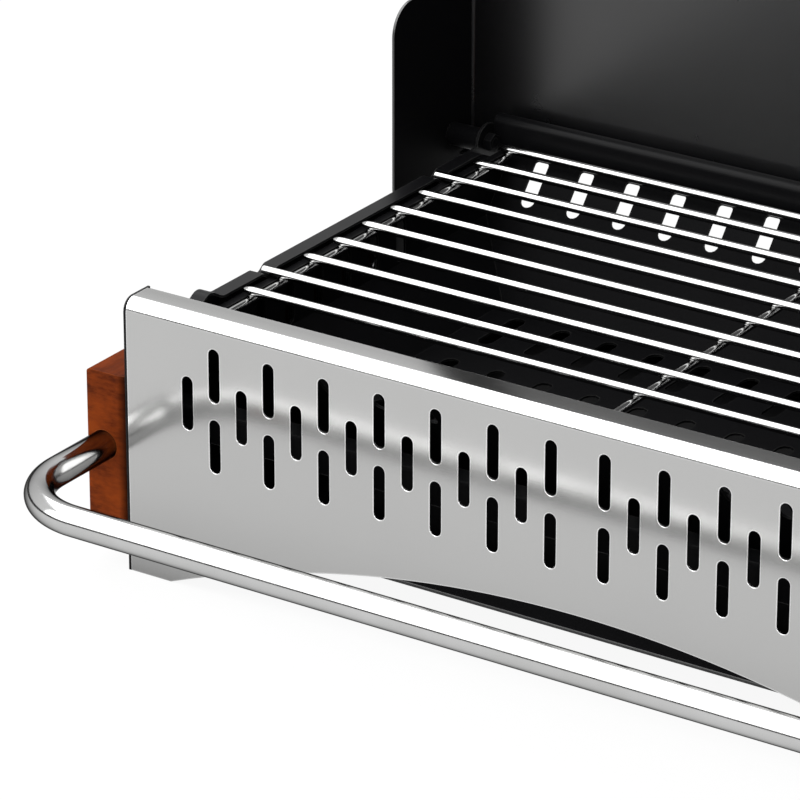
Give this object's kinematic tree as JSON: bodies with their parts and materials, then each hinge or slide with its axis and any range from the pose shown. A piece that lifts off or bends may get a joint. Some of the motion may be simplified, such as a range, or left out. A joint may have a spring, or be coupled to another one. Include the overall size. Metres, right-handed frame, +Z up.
{
  "type": "folding charcoal grill",
  "caption": "Low charcoal grill in a steel case: slotted front panel, wire grate over a coal bowl, rear ash tray, U carrying handle in wooden blocks and a lid hinged at the back.",
  "frame": {"origin": "middle of the footprint at the level of the feet, with the lid open and the handle in front", "axes": "+X to the right along the front panel, +Y from the front panel to the back, +Z up"},
  "size_m": [0.4998, 0.3772, 0.3719],
  "materials": {
    "stainless_panel": "satin stainless sheet",
    "bright_steel": "polished rod and tube",
    "zinc_steel": "plated hardware",
    "black_steel": "semi-gloss heat-proof black paint",
    "bowl_enamel": "black enamel",
    "red_wood": "oiled reddish hardwood"
  },
  "bodies": {
    "case": {"front_panel": "stainless_panel", "left_side_plate": "black_steel", "right_side_plate": "black_steel", "rear_rail": "black_steel", "front_cross_rail": "black_steel", "left_bowl_ledge": "black_steel", "right_bowl_ledge": "black_steel", "left_tray_runner": "black_steel", "right_tray_runner": "black_steel", "left_wood_block": "red_wood", "right_wood_block": "red_wood", "block_screws": "zinc_steel", "handle_tube": "bright_steel", "handle_pins": "zinc_steel", "charcoal_bowl": "bowl_enamel", "grate_bars": "bright_steel", "grate_long_bars": "bright_steel", "grate_cross_wires": "bright_steel", "left_pivot_bolt": "black_steel", "right_pivot_bolt": "black_steel", "left_pivot_spacer": "black_steel", "right_pivot_spacer": "black_steel", "left_pivot_nut": "black_steel", "right_pivot_nut": "black_steel", "pivot_washers": "black_steel"},
    "lid": {"lid_shell": "black_steel"},
    "ash_drawer": {"ash_tray": "bowl_enamel", "tray_side_rails": "bowl_enamel", "ash_tray_pull": "bowl_enamel", "pull_rivets": "zinc_steel"}
  },
  "joints": [
    {"name": "lid_hinge", "type": "hinge", "parent": "case", "child": "lid", "pos_m": [0, 0.1701, 0.1079], "axis": [1, 0, 0], "range_deg": [0, 90]},
    {"name": "ash_tray_slide", "type": "slide", "parent": "case", "child": "ash_drawer", "axis": [0, 1, 0], "range_m": [0, 0.25]}
  ]
}
